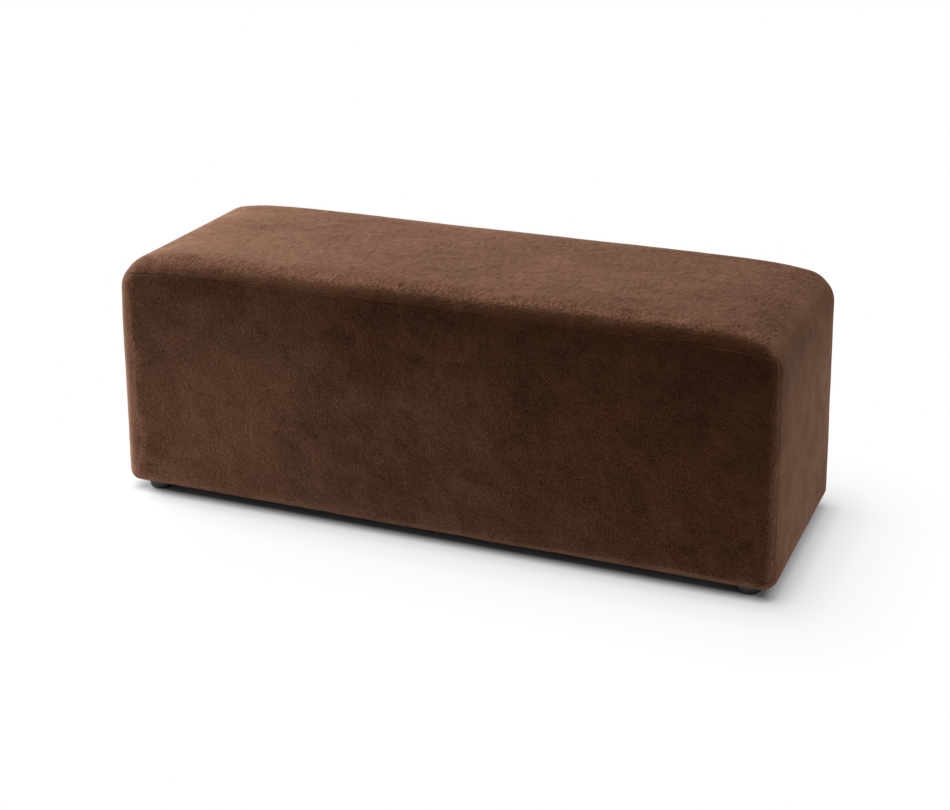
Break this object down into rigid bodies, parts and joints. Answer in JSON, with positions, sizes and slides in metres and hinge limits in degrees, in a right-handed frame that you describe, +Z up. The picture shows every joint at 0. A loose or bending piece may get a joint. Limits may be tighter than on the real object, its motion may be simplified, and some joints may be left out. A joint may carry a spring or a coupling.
{
  "type": "velvet bench",
  "caption": "Long low upholstered bench: a padded box in a sewn velvet cover, on low round feet.",
  "frame": {"origin": "on the floor, at the middle of the footprint", "axes": "+X along the bench to the right of someone facing its front, +Y towards the back, +Z up"},
  "size_m": [1.2, 0.42, 0.45],
  "materials": {
    "velvet": "brushed velvet pile",
    "wadding": "polyester wadding",
    "foam": "open-cell foam",
    "seat_board": "plywood, unfinished",
    "side_boards": "hardboard, unfinished",
    "timber": "planed softwood, unfinished",
    "dust_cover": "non-woven sheet",
    "feet": "satin moulding"
  },
  "bodies": {
    "root": {"velvet_front_panel": "velvet", "velvet_back_panel": "velvet", "velvet_band": "velvet", "wadding": "wadding", "seat_foam": "foam", "front_foam": "foam", "back_foam": "foam", "left_foam": "foam", "right_foam": "foam", "seat_board": "seat_board", "front_board": "side_boards", "back_board": "side_boards", "left_board": "side_boards", "right_board": "side_boards", "bottom_rail_front": "timber", "bottom_rail_back": "timber", "bottom_rail_left": "timber", "bottom_rail_right": "timber", "bottom_cross_rail_left": "timber", "bottom_cross_rail_right": "timber", "top_rail_front": "timber", "top_rail_back": "timber", "top_rail_left": "timber", "top_rail_right": "timber", "top_cross_rail_left": "timber", "top_cross_rail_right": "timber", "corner_post_front_left": "timber", "corner_post_front_right": "timber", "corner_post_back_left": "timber", "corner_post_back_right": "timber", "middle_post_front_left": "timber", "middle_post_front_right": "timber", "middle_post_back_left": "timber", "middle_post_back_right": "timber", "corner_block_front_left": "timber", "corner_block_front_right": "timber", "corner_block_back_left": "timber", "corner_block_back_right": "timber", "dust_cover": "dust_cover", "foot_front_left": "feet", "foot_front_right": "feet", "foot_back_left": "feet", "foot_back_right": "feet"}
  },
  "joints": []
}
